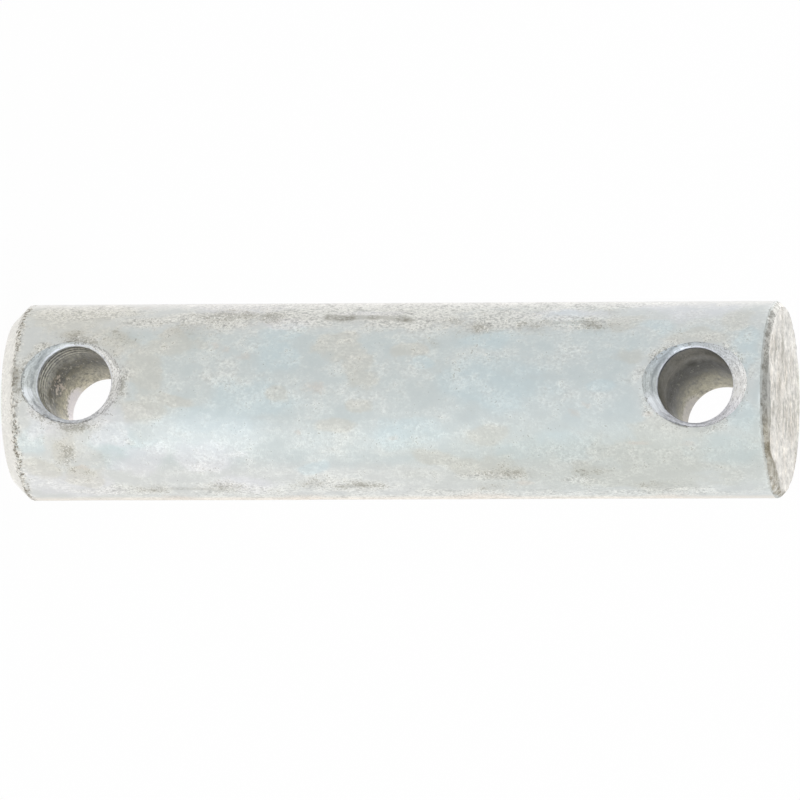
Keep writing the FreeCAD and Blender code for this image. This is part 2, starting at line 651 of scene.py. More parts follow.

# %% [markdown]
# The haze dulls whole patches of the plating, and a few of them are dark with soil. Other
# patches have a pale bloom, partly a painted highlight on the right where the light falls, and
# others again are bluer and cleaner than the rest.

# %% Haze
haze = with_hidden(areas([
    (-52, 10.0, 4.6, 9.0),
    (-33, 8.6, 1.0, 2.4),
    (-28, 15.5, 2.3, 2.4),
    (-25, 22.5, 2.2, 3.8),
    (-8, 18.8, 3.6, 2.6),
    (15, 18.3, 1.7, 3.8),
    (10, 23.0, 1.0, 3.2, -10),
    (-24, 43.6, 2.5, 4.8),
    (-14, 46.2, 2.4, 2.6),
    (-2, 46.6, 1.5, 2.2),
    (24, 43.6, 1.4, 3.4),
    (14, 46.6, 0.9, 2.2),
    (7, 36.4, 1.2, 1.7),
    (38, 8.2, 2.3, 2.3),
    (54, 5.4, 1.9, 2.8),
    (58, 10.2, 2.2, 2.2),
    (53, 62.6, 1.9, 5.6),
    (31, 63.2, 1.7, 3.6),
    (46, 55.5, 1.3, 3.0),
    (55, 75.6, 1.4, 2.4),
    (30, 85.0, 2.6, 6.0),
    (45, 82.0, 3.0, 5.0),
    (62, 85.0, 3.4, 10.0),
    (-29, 89.4, 1.4, 4.2),
    (-48, 94.4, 2.8, 2.8),
    (-42, 80.5, 1.8, 2.4),
    (-16, 80.4, 1.3, 2.4),
    (-20, 52.5, 1.0, 3.0),
]), 7.0, 35, -0.35, 1.6)
print(f"haze on {100 * np.mean(haze > 0):.0f} % of the points")

# %% Soil
soil = with_hidden(areas([
    (-34, 24.0, 1.6, 4.0),
    (-31, 15.4, 1.4, 2.4),
    (-33, 8.8, 1.0, 3.0),
    (-53, 29.0, 2.0, 3.6),
    (-49, 33.5, 1.5, 3.6),
    (-37, 61.5, 1.4, 3.0),
    (-43, 58.2, 0.8, 1.4),
    (-36, 68.4, 1.1, 2.6),
    (-52, 78.2, 0.8, 1.6),
    (-39, 77.3, 1.1, 3.0),
    (44, 8.6, 1.9, 2.4),
    (35, 7.8, 1.4, 1.8),
    (56, 9.6, 1.4, 2.0),
    (29, 9.4, 0.9, 3.4),
    (46, 12.6, 1.0, 2.0),
    (72, 18.4, 1.2, 2.0),
    (72, 28.0, 1.4, 2.0),
    (68, 39.5, 1.2, 2.8),
    (70, 46.0, 1.1, 3.2),
    (72, 63.0, 1.1, 2.4),
    (58, 65.6, 1.2, 3.4),
    (56, 75.6, 1.4, 2.8),
    (-4, 2.7, 1.1, 0.8),
    (70, 84.0, 1.0, 2.6),
    (-25, 55.8, 0.8, 1.6),
]), 3.4, 45, -1.15, 1.8)
print(f"soil on {100 * np.mean(soil > 0):.0f} % of the points")

# %% Bloom and painted highlight, and clean blue zinc
# Pale patches: partly bloom, partly a painted highlight on the right of the bar.
bloom = with_hidden(areas([
    (45, 26.5, 2.6, 5.4),
    (66, 30.5, 2.6, 4.0),
    (34, 14.5, 2.0, 3.4),
    (-52, 47.0, 0.9, 5.6),
    (-50, 72.0, 1.8, 6.4),
    (-64, 30.0, 2.4, 7.0),
    (-58, 88.0, 3.4, 8.0),
    (48, 18.0, 2.6, 4.0),
    (-42, 36.0, 1.2, 5.0),
    (20, 10.0, 3.0, 8.0),
    (70, 8.0, 4.0, 7.0),
]), 6.0, 55, -0.5, 1.5)

azure = with_hidden(areas([
    (33, 4.2, 2.6, 2.2),
    (22, 28.0, 2.2, 7.5),
    (12, 33.0, 3.0, 6.0),
    (-18, 36.0, 3.5, 4.4),
    (-34, 36.4, 1.8, 3.6),
    (-47, 72.9, 1.9, 3.6),
    (38, 15.5, 3.2, 4.6),
    (30, 53.0, 2.6, 5.4),
    (-27, 62.7, 1.6, 4.6),
    (-12, 55.0, 0.9, 1.8),
    (2, 78.0, 0.8, 2.4),
    (42, 67.5, 1.6, 3.6),
    (36, 73.0, 2.2, 4.6),
    (42, 94.5, 2.6, 3.6),
    (20, 95.4, 2.6, 2.8),
    (-20, 96.6, 3.2, 2.0),
    (2, 64.0, 3.6, 8.0),
    (53, 40.2, 1.3, 2.8),
    (-38, 84.5, 1.6, 2.6),
]), 8.0, 65, -0.3, 1.5)
print(f"bloom on {100 * np.mean(bloom > 0):.0f} %, clean zinc on {100 * np.mean(azure > 0):.0f} %")

# %% [markdown]
# The plating isn't alike all over. Towards the sawn end the right side of the bar is dull, and
# its colour there is also painted darker, a painted shade where the highlight fades. Where that
# side turns away, a warm beige along the edge is a painted reflection. Along the left side a pale
# band is painted, a painted sheen of the edge. The blue cast is strongest in the middle; both sides
# of it are painted warmer, partly as a painted reflection, and the base and the mouths are warmer
# metal. On the right a lighter, bluer strip is a painted highlight, and small painted glints in the
# countersinks stand in for their shine.

# %% Dull and shaded side, painted highlight, painted sheens, warmer sides and painted glints
# The right side towards the sawn end: rougher, and its colour painted darker, a painted shade where
# the highlight fades.
dull = with_hidden(areas([
    (52, 80.0, 9.5, 42.0),
    (46, 102.0, 9.0, 40.0),
]), 16.0, 95, -0.2, 2.0)

# A lighter, bluer strip on the right of the bar: a painted highlight.
gleam = with_hidden(areas([
    (29, 26.0, 3.4, 10.0),
]), 9.0, 115, -0.8, 2.0)

# A pale band along the left side of the bar: a painted sheen of its edge.
powder = with_hidden(np.clip((-56 - place_turn) / 16, -1, 1), 9.0, 99, -0.6, 2.0)

# A warm beige along the edge where the right side turns away: a painted reflection.
amber = with_hidden(np.clip((place_turn - 84) / 9, -1, 1), 9.0, 125, -0.9, 2.0)

# Warmer on both sides of the middle, partly a painted reflection; warmer also at the base and round
# the mouths.
border = np.max([(-30 - place_turn) / 14, (place_turn - 46) / 14, (14.5 - height) / 5], axis=0)
border = np.maximum(border, 0.6 * bump_at(mouth_gap, 1.6))
warm = with_hidden(np.clip(border, -1, 1), 8.0, 105, 0.1, 1.8)

# Small bright spots in the countersinks: painted glints.
burnished = areas([
    (5, 3.9, 0.9, 1.2),
    (13, 84.7, 1.5, 1.7),
    (-170, 4.0, 0.6, 0.6),
    (-160, 84.8, 0.7, 0.9),
])

# %% [markdown]
# The crust is a film of dirt with dark and pale grains in it. It covers two bands along the
# bar, where the pin lay, and rings the holes. A few small spots have turned pink or tan.

# %% Crust
crust = with_hidden(areas([
    (-56, 11.0, 3.0, 9.0),
    (-45, 18.5, 1.6, 4.0),
    (-48, 27.0, 2.9, 9.0),
    (-50, 40.0, 3.2, 11.0),
    (-47, 53.0, 3.3, 9.0),
    (-46, 65.0, 3.0, 8.0),
    (-42, 74.0, 1.6, 6.0),
    (-66, 55.0, 3.4, 38.0),
    (75, 15.0, 2.0, 8.0),
    (75, 30.0, 2.3, 9.0),
    (73, 44.0, 2.3, 8.0),
    (80, 58.0, 1.8, 8.0),
    (82, 71.0, 1.6, 7.0),
    (80, 85.0, 1.6, 12.0),
    (60, 62.5, 1.2, 5.0),
    (64, 74.0, 0.9, 3.0),
    (92, 50.0, 2.6, 46.0),
    (42, 9.0, 1.7, 1.6),
    (-3, 16.2, 2.6, 1.1),
    (-23, 5.6, 1.1, 1.5),
    (-28, 10.0, 0.8, 2.4),
    (26, 10.5, 1.2, 4.2),
    (17, 83.6, 1.0, 1.2),
    (35, 17.0, 0.6, 0.9),
    (60, 65.0, 1.2, 3.0),
]), 4.0, 75, -0.75, 3.0)
rim_noise = noise(points, 1.3, 39)
crust = np.maximum(crust, (0.15 + 0.5 * rim_noise) * bump_at(mouth_gap - 0.3, 0.6))
print(f"crust on {100 * np.mean(crust > 0):.0f} % of the points")

# %% Tan spots
tan = with_hidden(areas([
    (-63, 17.6, 0.9, 1.0),
    (-16.5, 31.5, 0.6, 1.3),
    (-21, 29.2, 0.6, 1.0),
    (-24.5, 27.9, 0.6, 0.9),
    (2.5, 41.0, 0.9, 1.6),
    (28.5, 38.6, 0.5, 0.7),
    (33, 51.2, 0.35, 0.9),
    (17.5, 74.7, 0.6, 1.1, -25),
    (13.2, 76.3, 0.4, 1.0, -25),
    (-17, 76.3, 0.25, 1.0),
    (37, 82.6, 0.35, 2.4),
    (37.5, 88.8, 0.5, 1.1),
    (52, 10.4, 0.5, 1.1),
    (19, 83.8, 0.4, 1.0),
    (88, 22.0, 1.6, 2.4),
    (88, 37.5, 1.8, 3.0),
    (88, 60.0, 1.8, 5.0),
    (88, 85.5, 1.8, 2.8),
    (68, 67.0, 0.8, 1.4),
]), 2.2, 85, -1.35, 1.4)

# %% All the areas, kept with the skin
for name, area in (
    ("haze", haze),
    ("soil", soil),
    ("bloom", bloom),
    ("azure", azure),
    ("dull", dull),
    ("gleam", gleam),
    ("amber", amber),
    ("powder", powder),
    ("warm", warm),
    ("burnished", burnished),
    ("crust", crust),
    ("tan", tan),
):
    keep(skin, name, np.clip(area, -1, 1))


# %% [markdown]
# ## Shader maths as Python
#
# A finish is a graph of nodes, and a graph is hard to read as text. A small class stands for
# one wire of that graph, so that adding two wires adds a Math node and reads as a sum.

# %% Wires
class Wire:
    """One output of a node. Arithmetic on it adds Math nodes."""

    def __init__(self, sheet, socket):
        self.sheet = sheet
        self.socket = socket

    def __add__(self, other):
        return self.sheet.math("ADD", self, other)

    __radd__ = __add__

    def __sub__(self, other):
        return self.sheet.math("SUBTRACT", self, other)

    def __rsub__(self, other):
        return self.sheet.math("SUBTRACT", other, self)

    def __mul__(self, other):
        return self.sheet.math("MULTIPLY", self, other)

    __rmul__ = __mul__

    def ramp(self, start, end):
        """0 up to start, 1 from end on, and smooth in between. It falls if start is above end."""
        values = {"Value": self, "From Min": min(start, end), "From Max": max(start, end)}
        if start > end:
            values.update({"To Min": 1.0, "To Max": 0.0})
        return self.sheet.node("ShaderNodeMapRange", {"interpolation_type": "SMOOTHSTEP"}, values)

    def clamped(self):
        """The wire kept from 0 to 1."""
        return self.sheet.node("ShaderNodeClamp", {}, {"Value": self})

    def swing(self, reach):
        """A noise about 0.5 as one about 0, made wider: (wire - 0.5) reach."""
        return (self - 0.5) * reach

    def unsigned(self):
        """The wire without its sign."""
        return self.sheet.math("ABSOLUTE", self)

    def bell(self, width):
        """1 where the wire is 0, falling smoothly to 0 at width on both sides."""
        return self.unsigned().ramp(width, 0.0)

    def wave(self, length):
        """A sine of the wire that repeats every length."""
        return self.sheet.math("SINE", self * (2 * math.pi / length))


# %% [markdown]
# A sheet is the paper that the wires are drawn on. One method adds any node, and the others
# are the few nodes that every finish here needs: places on the pin, the numbers kept with the
# skin, clouds of noise, mixed colours, and the metal shader at the end.

# %% Sheets
class Sheet:
    """A node graph, with the places and patterns that the finishes share, in millimetres."""

    def __init__(self, tree):
        self.tree = tree
        self.tree.nodes.clear()

    def node(self, kind, settings, values, output=0):
        """Adds a node: its settings first, then the value or the wire of each socket."""
        added = self.tree.nodes.new(kind)
        for key, value in settings.items():
            setattr(added, key, value)
        for key, value in values.items():
            if isinstance(value, Wire):
                self.tree.links.new(value.socket, added.inputs[key])
            else:
                added.inputs[key].default_value = value
        return Wire(self, added.outputs[output]) if len(added.outputs) else None

    def math(self, operation, first, second=0.0):
        """One sum or function of wires or numbers."""
        return self.node("ShaderNodeMath", {"operation": operation}, {0: first, 1: second})

    def vector(self, operation, first, second=(0, 0, 0), output=0):
        """The same for vectors. Some operations give a plain number, on the output Value."""
        values = {0: first, 1: second}
        return self.node("ShaderNodeVectorMath", {"operation": operation}, values, output)

    @functools.cached_property
    def place(self):
        """Where a point is on the object."""
        metres = self.node("ShaderNodeTexCoord", {}, {}, "Object")
        return self.vector("MULTIPLY", metres, (1 / MM, 1 / MM, 1 / MM))

    def axis(self, name):
        """The place along X, Y or Z."""
        return self.node("ShaderNodeSeparateXYZ", {}, {"Vector": self.place}, name)

    @functools.cached_property
    def unrolled(self):
        """Where a point is on the unrolled wall: how far round from the front, and how high."""
        turn = self.math("ARCTAN2", self.axis("X"), 0.0 - self.axis("Y"))
        return self.node("ShaderNodeCombineXYZ", {}, {"X": turn * bar_radius, "Y": self.axis("Z")})

    def kept(self, name):
        """A number that was stored with the mesh."""
        return self.node("ShaderNodeAttribute", {"attribute_name": name}, {}, "Fac")

    def clouds(self, size, detail=3.0, rough=0.55, stretch=(1.0, 1.0, 1.0), shift=0.0, place=None):
        """Cloudy noise round 0.5, with blotches about size across, wider where stretch is small."""
        values = {0: place or self.place, 1: stretch, 2: (shift, -shift, shift)}
        place = self.node("ShaderNodeVectorMath", {"operation": "MULTIPLY_ADD"}, values)
        values = {"Vector": place, "Scale": 1 / size, "Detail": detail, "Roughness": rough}
        return self.node("ShaderNodeTexNoise", {}, values, "Fac")

    def mix(self, share, first, second):
        """A colour that goes from first to second as share goes from 0 to 1."""
        values = {0: share, 6: first, 7: second}
        return self.node("ShaderNodeMix", {"data_type": "RGBA", "clamp_factor": True}, values, 2)

    def scaled(self, colour, factor):
        """A colour or another vector, times a factor."""
        values = {"Vector": colour, "Scale": factor}
        return self.node("ShaderNodeVectorMath", {"operation": "SCALE"}, values)

    def finish(self, colour, roughness, metallic, relief, relief_mm):
        """Ends the graph in one metal shader, with fine relief as a bump."""
        bump = {"Height": relief * (relief_mm * MM), "Distance": 1.0, "Strength": 1.0}
        normal = self.node("ShaderNodeBump", {}, bump)
        metal = {"Base Color": colour, "Roughness": roughness, "Metallic": metallic}
        shader = self.node("ShaderNodeBsdfPrincipled", {}, metal | {"Normal": normal})
        self.node("ShaderNodeOutputMaterial", {}, {"Surface": shader})


def new_material(name):
    """A material with an empty graph."""
    material = bpy.data.materials.new(name)
    material.use_nodes = True
    return material


# %% Colours as they are seen
def tone(red, green, blue):
    """A colour as seen on a screen, from 0 to 255, turned into the light values a shader takes."""
    seen = np.array([red, green, blue]) / 255
    light = np.where(seen <= 0.04045, seen / 12.92, ((seen + 0.055) / 1.055)**2.4)
    return (*light.tolist(), 1.0)


print("mid grey as light:", round(tone(128, 128, 128)[0], 3))

# %% [markdown]
# ## Grains, specks and streaks
#
# Grain is noise that is as strong at a tenth of a millimetre as at a whole one, so the metal
# looks alike from near and from far. Specks are the highest peaks of a fine noise: the denser
# they should be, the lower the peaks that count. A streak is drawn by a point's distance from
# a straight line on the unrolled wall.

# %% Patterns that several finishes use
def grain_of(sheet, shift, stretch=(1.0, 1.0, 0.8)):
    """The metal's grain, from a millimetre and a half down to a tenth."""
    return sheet.clouds(1.6, detail=4.0, rough=0.85, stretch=stretch, shift=shift)


def specks(noise_wire, density, few=0.78, many=0.56, soft=0.06):
    """Peaks of a noise: those above few where density is 0, and those above many where it is 1."""
    return (noise_wire + density * (few - many)).ramp(few, few + soft)


def streak(sheet, start, end, width):
    """1 along a line between two places, each a turn and a height, and 0 beyond its width.

    The nearest point of the line is start + t (end - start), with t kept from 0 to 1.
    """
    start, end = (np.array([turn * MM_PER_DEGREE, height, 0.0]) for turn, height in (start, end))
    run = end - start
    wander = sheet.clouds(2.4, detail=3.0, rough=0.6, shift=61.0) - 0.5
    sway = sheet.node("ShaderNodeCombineXYZ", {}, {"X": wander * 0.8})
    away = sheet.vector("SUBTRACT", sheet.vector("ADD", sheet.unrolled, sway), tuple(start))
    t = sheet.vector("DOT_PRODUCT", away, tuple(run / (run @ run)), "Value").clamped()
    nearest = sheet.scaled(tuple(run), t)
    return sheet.vector("DISTANCE", away, nearest, "Value").ramp(width, 0.3 * width)


# %% [markdown]
# ## The plating
#
# Zinc plating is a thin, pale metal with a bluish cast. Where it is thin, stained or has been
# rubbed it turns beige, and dirt stays in its fine pits as dark specks. The areas from above
# are soft-edged numbers on the mesh, and noise in the shader breaks up their borders. A colour
# is painted in layers: each is a share from 0 to 1, and the tone that it leads to.

# %% Layers, areas and the plating's own noises
def layered(sheet, colour, layers):
    """A colour with layers over it, in order. Each layer is a share and a tone."""
    for share, shade in layers:
        colour = sheet.mix(share, colour, tone(*shade))
    return colour


def stained(sheet, name, blotches, start, full, strength):
    """A kept area whose border is broken up by blotches: 0 outside it, 1 well inside."""
    return (sheet.kept(name) + blotches.swing(strength)).ramp(start, full)


def plating_wires(sheet):
    """The noises and areas that the plating's layers share.

    The grime is a little heavier on the left side of the bar, the top one in the picture.
    """
    zinc = types.SimpleNamespace(height=sheet.axis("Z"), grain=grain_of(sheet, 11.0))
    zinc.fine = sheet.clouds(0.33, detail=2.0, rough=0.6, stretch=(1.0, 1.0, 0.75), shift=23.0)
    zinc.pale = sheet.clouds(0.4, detail=2.0, rough=0.6, shift=77.0)
    zinc.tiny = sheet.clouds(0.24, detail=1.0, rough=0.5, stretch=(1.0, 1.0, 0.8), shift=87.0)
    zinc.soft = sheet.clouds(3.2, detail=3.0, rough=0.5, stretch=(1.0, 1.0, 0.7), shift=41.0)
    zinc.clusters = sheet.clouds(2.4, detail=3.0, rough=0.65, shift=53.0)
    zinc.flecks = zinc.fine * 0.7 + zinc.grain * 0.3
    zinc.shown_top = sheet.axis("X").ramp(6.0, -6.0)
    zinc.crust = stained(sheet, "crust", zinc.soft * 0.4 + zinc.grain * 0.6, -0.2, 0.5, 2.0)
    zinc.soil = stained(sheet, "soil", zinc.grain, -0.6, 1.1, 3.2)
    zinc.dull = stained(sheet, "dull", zinc.soft, 0.0, 0.8, 0.6)
    zinc.grime = zinc.crust * (0.85 + 0.15 * zinc.shown_top) + zinc.soil * 0.3
    return zinc


# %% [markdown]
# First come the tints. Besides the areas, the metal is a little warmer towards the base and a
# little bluer above the middle.

# %% Tints of the plating
TINTS = [
    # Warmer sides, partly a painted reflection.
    ("warm", -0.4, 0.8, 1.4, 0.75, (212, 213, 211)),
    ("azure", -0.1, 0.4, 1.6, 0.45, (197, 214, 219)),
    # Pale bloom, partly a painted highlight.
    ("bloom", -0.1, 0.4, 1.6, 0.5, (222, 222, 227)),
    # A painted highlight: the lighter, bluer strip on the right.
    ("gleam", -0.2, 0.6, 1.2, 0.5, (222, 231, 234)),
    ("haze", -0.1, 0.4, 2.0, 0.52, (202, 200, 191)),
]


def tinted(sheet, zinc):
    """The zinc's own colour, clean or stained, before the dirt."""
    colour = sheet.mix(zinc.soft.ramp(0.3, 0.7), tone(200, 208, 208), tone(204, 213, 213))
    # The pale band on the left side, a painted sheen of the edge.
    powder = (sheet.kept("powder") + zinc.grain.swing(0.8)).clamped()
    tints = [
        (stained(sheet, name, zinc.soft, start, full, strength) * share, shade)
        for name, start, full, strength, share, shade in TINTS
    ]
    return layered(sheet, colour, tints + [
        # Painted shade on the dull right side.
        (zinc.dull * 0.55, (178, 180, 172)),
        (zinc.crust * (0.25 + 0.2 * zinc.shown_top), (228, 225, 216)),
        (zinc.soil * 0.2, (179, 172, 156)),
        (stained(sheet, "tan", zinc.grain, -0.2, 0.8, 2.2) * 0.24, (204, 184, 168)),
        (zinc.height.ramp(38.0, 8.0) * 0.08, (222, 216, 198)),
        (zinc.height.ramp(50.0, 78.0) * 0.09, (184, 205, 218)),
        # Painted sheen along the left edge.
        (powder * 0.8, (238, 236, 233)),
        # Painted reflection: warm beige along the right edge.
        (sheet.kept("amber").clamped() * 0.6, (246, 233, 217)),
    ])


print(len(TINTS), "tints whose borders follow the soft noise")

# %% [markdown]
# Then comes the dirt. It gathers in a broken line where the chamfer meets the wall, in a ragged
# one at the head of the wall, and in a loose collar round each mouth. Everywhere it is specks:
# coarse where there is grime, and hardly any on clean metal.

# %% Dirt at the edges
def add_edge_dirt(sheet, zinc):
    """The dark, broken line where the base chamfer meets the wall: its band and its specks."""
    reach = sheet.clouds(1.6, detail=3.0, shift=29.0) - 0.5
    zinc.edge_band = (zinc.height - base_chamfer - 0.1 + reach * 1.6).bell(1.0)
    thin = zinc.grain.ramp(0.48, 0.6) * (zinc.height - base_chamfer).bell(0.4)
    zinc.edge_specks = specks(zinc.pale, zinc.edge_band * 1.05, 0.74, 0.47)
    zinc.edge_specks += thin.ramp(0.4, 1.0) * 0.4


def head_dirt(sheet, zinc):
    """The ragged dark line that the saw's burr leaves at the head of the wall."""
    reach = sheet.clouds(1.1, detail=3.0, rough=0.7, shift=91.0) - 0.5
    near = (zinc.height - wall_head + reach * 1.2).ramp(-0.1, 0.15)
    return near * zinc.grain.ramp(0.36, 0.52)


def rim_line(sheet, zinc):
    """The broken dark line round a mouth, strongest on its side towards the base."""
    near_base = 0.5 + 0.5 * sheet.kept("mouth_up").ramp(0.0, -0.7)
    line = (sheet.kept("mouth_gap") - 0.05).bell(0.22)
    return line * zinc.grain.ramp(0.46, 0.58) * zinc.clusters.ramp(0.42, 0.56) * near_base


def add_dark_specks(sheet, zinc):
    """The collar of dirt round a mouth, and the dark specks that it shares with the wall."""
    ragged = sheet.kept("mouth_gap") - 0.35 + zinc.clusters.swing(1.4)
    zinc.collar = ragged.bell(0.9) * (0.5 + 0.4 * zinc.height.ramp(60.0, 40.0))
    density = zinc.crust * 0.7 + zinc.soil * 0.95 + zinc.clusters.swing(2.1) + zinc.collar
    zinc.dark_specks = specks(zinc.flecks, density, 0.655, 0.555, 0.05)


# %% [markdown]
# A few dark marks are long and thin. Each streak below has a start, an end, a width and a
# strength, and the flecks break it up.

# %% Streaks
STREAKS = [
    ((-48.0, 41.8), (-46.5, 44.4), 1.15, 0.65),
    ((-46.5, 44.0), (-47.5, 47.6), 0.9, 0.42),
    ((-47.5, 47.4), (-45.5, 52.0), 0.9, 0.42),
    ((-45.0, 51.0), (-43.0, 52.6), 0.8, 0.5),
    ((-41.5, 70.0), (-41.0, 76.6), 0.5, 0.25),
    ((-8, 2.0), (4, 2.7), 0.8, 0.5),
    ((-17, 4.8), (-22, 6.6), 0.4, 0.5),
    ((72.5, 21.4), (74.5, 27.6), 0.6, 0.3),
    ((71, 43.0), (70, 46.6), 0.6, 0.3),
    ((146, 22.0), (152, 35.0), 0.9, 0.4),
    ((-133, 52.0), (-136, 68.0), 0.8, 0.4),
]
STREAK_TONE = (122, 119, 106)


def streak_layers(sheet, zinc):
    """One layer for each streak."""
    broken = 0.15 + 0.85 * zinc.flecks.ramp(0.42, 0.56)
    return [
        (streak(sheet, start, end, width) * broken * strength, STREAK_TONE)
        for start, end, width, strength in STREAKS
    ]


print(len(STREAKS), "streaks")

# %% Plated wall
def shaded(sheet, zinc, colour):
    """The colour with a pale chamfer, partly a painted reflection, and grain coarser where grimy.
    """
    chamfer = zinc.height.ramp(base_chamfer, base_chamfer - 0.12)
    # The chamfer painted near white: partly worn metal, partly a painted reflection of the white
    # floor.
    bare_and_sheen = sheet.mix(zinc.soft.ramp(0.3, 0.7), tone(240, 238, 232), tone(244, 242, 237))
    colour = sheet.mix(chamfer * 0.95, colour, bare_and_sheen)
    colour = layered(sheet, colour, [(zinc.edge_band * 0.3, (206, 201, 190))])
    coarse = 0.08 + 0.54 * zinc.grime + 0.04 * chamfer + 0.3 * zinc.edge_band
    crisp = 0.02 + 1.6 * zinc.grime + 0.22 * chamfer + 1.1 * zinc.edge_band
    mottle = (zinc.grain.ramp(0.3, 0.6) - 0.75) * coarse * 0.5
    return sheet.scaled(colour, 1.0 + mottle + (zinc.fine - 0.5) * crisp + zinc.soft.swing(0.08))


def dirtied(sheet, zinc, colour):
    """The colour with all the specks, edges and streaks of dirt."""
    pale_specks = specks(zinc.pale, zinc.crust * 1.1 + zinc.clusters.swing(0.5) - 0.1)
    pale_specks *= (0.15 + 0.55 * zinc.grime) * (0.65 + 0.35 * zinc.shown_top)
    density = zinc.clusters.ramp(0.48, 0.7) * 0.45 + zinc.soil * 0.4
    density += zinc.collar * 0.55 + zinc.crust * 0.2
    beside = sheet.axis("X").unsigned().ramp(3.0, 8.0)
    return layered(sheet, colour, [
        (pale_specks, (242, 241, 236)),
        (zinc.dark_specks * (0.34 + 0.2 * zinc.crust), (112, 109, 96)),
        (specks(zinc.tiny, density, 0.78, 0.6, 0.04) * 0.42, (104, 101, 90)),
        (zinc.edge_specks * (0.56 + 0.3 * beside), (118, 111, 96)),
        (zinc.edge_band * specks(zinc.fine, 1.0, 0.7, 0.5) * 0.6, (238, 235, 227)),
        (head_dirt(sheet, zinc) * 0.4, (120, 117, 108)),
        (rim_line(sheet, zinc) * 0.8, (96, 93, 82)),
    ] + streak_layers(sheet, zinc))


def plated(sheet):
    """The wall and the chamfered end."""
    zinc = plating_wires(sheet)
    add_edge_dirt(sheet, zinc)
    add_dark_specks(sheet, zinc)
    colour = dirtied(sheet, zinc, shaded(sheet, zinc, tinted(sheet, zinc)))
    roughness = 0.36 + 0.16 * zinc.crust + 0.12 * zinc.dull + 0.1 * zinc.soil
    roughness += zinc.grain.swing(0.12)
    relief = zinc.grain * (0.14 + zinc.grime) + zinc.fine * 0.5 * zinc.crust
    relief -= zinc.dark_specks * 0.5
    sheet.finish(colour, roughness, 0.95 - 0.35 * zinc.crust, relief, 0.03)


# %% [markdown]
# ## The machined surfaces
#
# The countersinks were cut last and are the cleanest metal on the pin, with the faint rings of
# the cutter. Their light is painted: painted shade and a bluish tone towards the base and on the
# far side, paler and warmer painted light towards the top and along the near rim, a painted
# highlight and a painted dark reflection at the neck, and a painted glint in each.

# %% Countersinks
def cone_painted_light(sheet, upper, lower_hole, far_side):
    """The cones' tone, with painted shade to the base and far side and painted light to the top."""
    painted_shade_end = sheet.mix(lower_hole, tone(192, 198, 198), tone(202, 207, 206))
    painted_light_end = sheet.mix(lower_hole, tone(251, 250, 247), tone(244, 243, 239))
    # Painted shade on the far side, towards the base, and on the far side of the upper hole.
    painted_shade_far_base = far_side * sheet.kept("mouth_up").ramp(-0.1, -0.6)
    # A painted highlight along the near rim.
    painted_highlight_rim = sheet.axis("X").ramp(1.0, 3.5) * (1.0 - 0.4 * lower_hole)
    return layered(sheet, sheet.mix(upper, painted_shade_end, painted_light_end), [
        (painted_shade_far_base * 0.55, (172, 180, 185)),
        (far_side * (1.0 - lower_hole) * 0.6, (173, 182, 190)),
        (painted_highlight_rim * 0.7, (234, 234, 241)),
    ])


def countersunk(sheet):
    """The cones: cutter rings, painted glints, painted highlight and dark reflection, dark
    outlines.
    """
    gap = sheet.kept("mouth_gap")
    neck = sheet.kept("neck_gap")
    grain = grain_of(sheet, 3.0, (1.0, 1.0, 1.0))
    fine = sheet.clouds(0.33, detail=2.0, rough=0.6, shift=13.0)
    wander = sheet.clouds(3.5, detail=3.0, rough=0.6, shift=5.0)
    turned = gap + wander * 1.4
    rings = turned.wave(0.62) * 0.5 + turned.wave(0.27) * 0.5
    upper = (sheet.kept("mouth_up") + wander.swing(1.2)).ramp(-0.3, 0.8)
    far_side = sheet.axis("X").ramp(0.0, -4.0)
    lower_hole = sheet.axis("Z").ramp(60.0, 40.0)
    crisp = 0.5 + 0.6 * upper * (0.5 + 0.5 * lower_hole)
    shade = 1.0 + rings * grain.ramp(0.36, 0.6) * 0.2 + (grain.swing(1.2) + fine.swing(1.7)) * crisp
    colour = sheet.scaled(cone_painted_light(sheet, upper, lower_hole, far_side), shade)
    # A dark band near the neck and a bright one at it: a painted dark reflection and a painted
    # highlight.
    dark_reflection_arc = (neck - 0.62 + wander.swing(1.2)).bell(0.3) * grain.ramp(0.36, 0.52) * (1.0 - upper)
    highlight_ring = (neck - 0.1 - 0.06 * far_side + wander.swing(0.4)).bell(0.14) * grain.ramp(0.38, 0.52)
    # Painted glints: a bright spot in each countersink.
    shiny = stained(sheet, "burnished", grain, -0.4, 0.6, 1.6) * (0.8 + 0.2 * rings)
    rim = (gap + wander.swing(1.2)).ramp(-0.9, 0.1)
    under = 0.1 + 0.8 * (sheet.axis("X") - sheet.kept("mouth_up") * 4.0).ramp(0.5, 4.0)
    outline = (gap + 0.04).bell(0.18) * grain.ramp(0.42, 0.54)
    outline *= (wander + grain - 0.5).ramp(0.36, 0.54) * under
    colour = layered(sheet, colour, [
        # Painted dark reflection, then painted highlight at the neck.
        (dark_reflection_arc * 0.55, (120, 126, 131)),
        (highlight_ring * (0.45 + 0.3 * far_side), (232, 235, 246)),
        (shiny, (246, 251, 255)),
        (specks(fine, rim * 1.2 + upper * lower_hole * 0.4) * 0.65, (110, 108, 101)),
        (outline * (0.3 + 0.5 * lower_hole), (88, 87, 82)),
    ])
    roughness = 0.38 + grain.swing(0.3) + 0.1 * rim
    sheet.finish(colour, roughness, 0.55 - 0.4 * upper, rings * 0.25 + grain * 1.5, 0.02)


# %% [markdown]
# The bores kept the drill's ridges and brown cutting oil. Their colour also holds painted shade,
# deepest in the middle of a bore and on its -X side, and paler painted light towards the back
# mouth. In the lower one a few specks of rust sit low on the wall, and in the upper one a pale
# score crosses the low side of the wall. The rims of the back mouths, seen through the bores, are
# lit from behind.

# %% Bores
RUST_PLACE = np.array([-2.2, -0.4, 5.2])
RUST_SQUEEZE = np.array([1.0, 0.35, 1.0])


